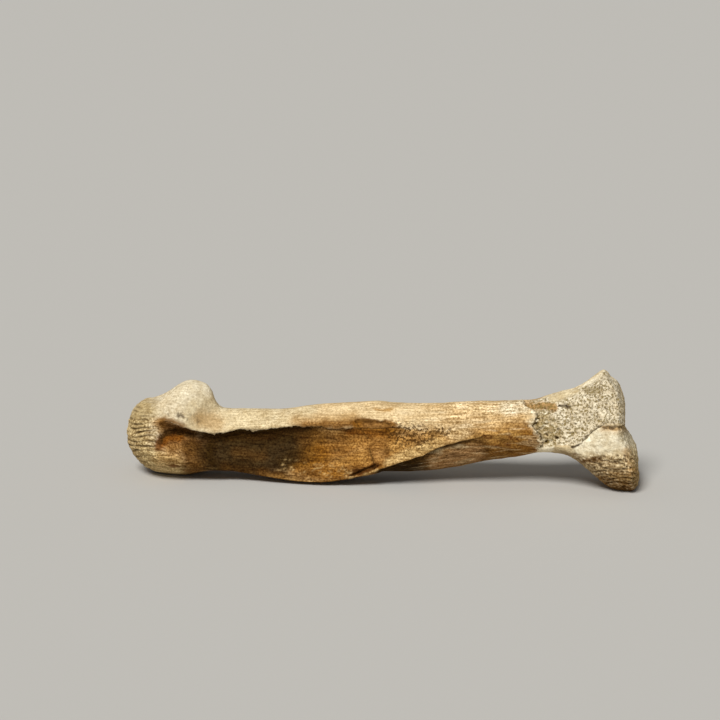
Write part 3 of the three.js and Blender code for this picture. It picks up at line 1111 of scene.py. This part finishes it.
    def _mark_patterns(self, surface: Surface, face: FaceMap) -> None:
        """Mark how strongly the sponge, the pores and the grain show at each point.

        Args:
            surface: Mesh that takes the marks.
            face: Layout of the face.
        """
        zones = face.zones()
        along = face.points[:, 0]
        strip = np.maximum(face.near(STRIP_BROAD, 5, 2), face.near(STRIP_FINE, 2.4, 1.2))
        spongy = zones[Zone.BREAK] * (1 - strip)
        end_face = 0.7 * ramp(face.normals[:, 0], 0.5, 0.8) * ramp(along, *END_FACE_MM)
        porous = np.maximum(face.near(PORE_FIELD, 13, 6), face.near(PORE_TAIL, 6, 4))
        plain = np.interp(along, GRAIN_PLACES_MM, GRAIN_SHARES)
        scored = face.seen * ramp(along, *LOBE_MM) * ramp(face.frame[:, 1], *SCORED_ROWS)
        by_lip = 0.9 * face.span(*LIP_GRAIN) * np.exp(-(((face.lip_drop + 4) / 5) ** 2))
        grain = np.maximum.reduce([plain, zones[Zone.HOLLOW], 0.9 * zones[Zone.UNDERSIDE], scored, by_lip])
        surface.write_mark(Mark.SPONGE, np.maximum(spongy, end_face))
        surface.write_mark(Mark.PORES, np.maximum(face.seen * porous, 0.12))
        surface.write_mark(Mark.GRAIN, grain)

    def _tint(self, surface: Surface, face: FaceMap) -> None:
        """Colour the bone, from its ground up to the wear on its edges, with painted light and shade laid in
        too.

        Args:
            surface: Mesh that takes the marks.
            face: Layout of the face.
        """
        zones = face.zones()
        tint = Tint(Pigment.PALE_TAN, len(face.points))
        self._lay_ground_and_painted_light(tint, face)
        places = face.frame + face.wander
        for stain_and_shade in self.stains_and_shades():
            tint.lay(stain_and_shade.pigment, zones[stain_and_shade.zone] * stain_and_shade.cover(places))
        self._lay_streaks(tint, face, zones)
        self._lay_wear_shade_and_highlight(tint, face, zones, surface.creases())
        surface.write_mark(Mark.TINT, tint.rgba())

    def _lay_ground_and_painted_light(self, tint: Tint, face: FaceMap) -> None:
        """Lay the bone's ground colour with honey patches, and paint light and shade by which way the surface
        faces: cream where it faces up, brown where it faces down.
            face: Layout of the face.
        """
        lift = face.normals[:, 2]
        patches = ripple(face.points, (70, 35, 35), 3)
        # Painted light on surfaces that face up, painted shade on surfaces that face down
        tint.lay(Pigment.CREAM, ramp(lift + 0.35 * patches, -0.1, 0.6))
        tint.lay(Pigment.HONEY, 0.6 * ramp(patches, 0.1, 0.6))
        tint.lay(Pigment.BROWN, 0.8 * ramp(-lift + 0.3 * patches, 0.2, 0.9))

    def _lay_streaks(self, tint: Tint, face: FaceMap, zones: dict[Zone, Array]) -> None:
        """Lay dark and pale streaks along the shaft, and pale specks on its belly.

        Args:
            tint: Colour to lay it on.
            face: Layout of the face.
            zones: Share of each zone at each point.
        """
        streaks = ripple(face.points, (36, 5, 5), 2)
        for zone, begins, dark, pale in (
            (Zone.HOLLOW, HOLLOW_STREAKS, Pigment.UMBER, Pigment.TAN),
            (Zone.UNDERSIDE, SHAFT_STREAKS, Pigment.UMBER, Pigment.CREAM),
            (Zone.BAND, SHAFT_STREAKS, Pigment.TAN, Pigment.BLEACHED),
        ):
            streaked = zones[zone] * ramp(face.frame[:, 0], *begins)
            tint.lay(dark, 0.38 * streaked * ramp(streaks, 0.1, 0.5))
            tint.lay(pale, 0.32 * streaked * ramp(-streaks, 0.15, 0.55))
        specks = face.near(BELLY_SPECKS, 7, 4) * zones[Zone.HOLLOW]
        tint.lay(Pigment.PALE_TAN, 0.6 * specks * ramp(ripple(face.points + 50, (4.5, 1.8, 1.8)), 0.18, 0.45))

    def _lay_wear_shade_and_highlight(self, tint: Tint, face: FaceMap, zones: dict[Zone, Array], creases: Array) -> None:
        """Paint shade into creases, grooves, the break's holes and the crevice behind its edge, paint a
        highlight on keen edges, and bleach the broken edge and its pale chips.

        Args:
            tint: Colour to lay it on.
            face: Layout of the face.
            zones: Share of each zone at each point.
            creases: How deep each point lies in a crease.
        """
        points = face.points
        edge = np.exp(-(((face.past_break + 1.2) / 2.0) ** 2)) * ramp(face.above_crack, -8, -2)
        tint.lay(Pigment.BLEACHED, face.seen * edge * (0.7 + 0.6 * ripple(points, (6, 6, 6))))
        knob = face.near(KNOB, 17, 5)
        rim = 1 - ramp(face.frame[:, 0], *RIM_CALM)
        calm = (1 - 0.7 * knob) * (1 - 0.8 * rim)
        # Painted shade in creases, lighter on the knob and the rim
        tint.lay(Pigment.UMBER, 0.8 * face.seen * calm * ramp(creases, 0.05, 0.22))
        # Painted shade in the rim's grooves
        tint.lay(Pigment.UMBER, 0.8 * self._rim_grooves(face))
        # Painted highlight on keen edges, kept off the hollow and the flake scar
        edges = face.seen * (1 - zones[Zone.HOLLOW]) * ramp(-creases, 0.06, 0.25)
        edges *= 1 - face.span(*SCAR_CALM)
        tint.lay(Pigment.BLEACHED, 0.25 * edges)
        # Painted shade in the deep holes by the broken edge
        hollows = 0.95 * ramp(pits(points, 6.5, 0.42), 0.25, 0.6)
        by_edge = zones[Zone.BREAK] * face.near(EDGE_HOLES, 10, 4)
        tint.lay(Pigment.UMBER, hollows * by_edge)
        chips = ramp(ripple(points + 20, (4.5, 4.5, 4.5)), 0.05, 0.3)
        tint.lay(Pigment.BLEACHED, 0.95 * by_edge * chips)
        # Painted shade in the crevice just past the broken edge
        crevice = np.exp(-(((face.past_break - 1.8) / 1.2) ** 2)) * ramp(ripple(points, (8, 8, 8)), -0.2, 0.2)
        tint.lay(Pigment.UMBER, 0.7 * crevice * face.seen * ramp(face.above_crack, 0, 4))


@dataclass
class Studio:
    """A plain pale floor under soft light."""

    floor_side_m: float = 40.0
    key_strength: float = 2.8
    key_spread_deg: float = 22.0
    key_turn_deg: tuple[float, float, float] = (38.0, -14.0, 0.0)
    fill_strength: float = 0.2

    def build(self) -> None:
        """Add the floor, the key light and the fill."""
        self._floor()
        bpy.ops.object.light_add(type="SUN", rotation=[math.radians(turn) for turn in self.key_turn_deg])
        key = bpy.context.object.data
        key.energy = self.key_strength
        key.angle = math.radians(self.key_spread_deg)
        world = bpy.data.worlds.new("soft_fill")
        world.use_nodes = True
        background = world.node_tree.nodes["Background"]
        background.inputs["Color"].default_value = (1, 1, 1, 1)
        background.inputs["Strength"].default_value = self.fill_strength
        bpy.context.scene.world = world
        bpy.context.scene.view_settings.view_transform = "Standard"

    def _floor(self) -> None:
        """Lay the floor, in matt pale paint."""
        bpy.ops.mesh.primitive_plane_add(size=self.floor_side_m)
        floor = bpy.context.object
        floor.name = "floor"
        # Matt paint, rolled on: even and without gloss, so that only the bone's soft shadow shows on it
        paint = bpy.data.materials.new("matt_floor_paint")
        paint.use_nodes = True
        shader = paint.node_tree.nodes["Principled BSDF"]
        shader.inputs["Base Color"].default_value = (*to_linear(Pigment.FLOOR.value), 1)
        shader.inputs["Roughness"].default_value = 0.9
        floor.data.materials.append(paint)


def main() -> None:
    """Load the frame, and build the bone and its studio."""
    logging.basicConfig(level=logging.INFO, format="%(message)s")
    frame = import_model()
    view = PhotoView()
    piece = FossilBone(view=view, finish=MineralisedBone()).build(frame["nodes"]["bone"])
    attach(piece, "root")
    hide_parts("bone")
    LOG.info("piece: %s", piece.name)
    Studio().build()
    LOG.info("stage: floor and lights")
    view.build()
    LOG.info("camera: photograph's viewpoint")


if __name__ == "__main__":
    main()
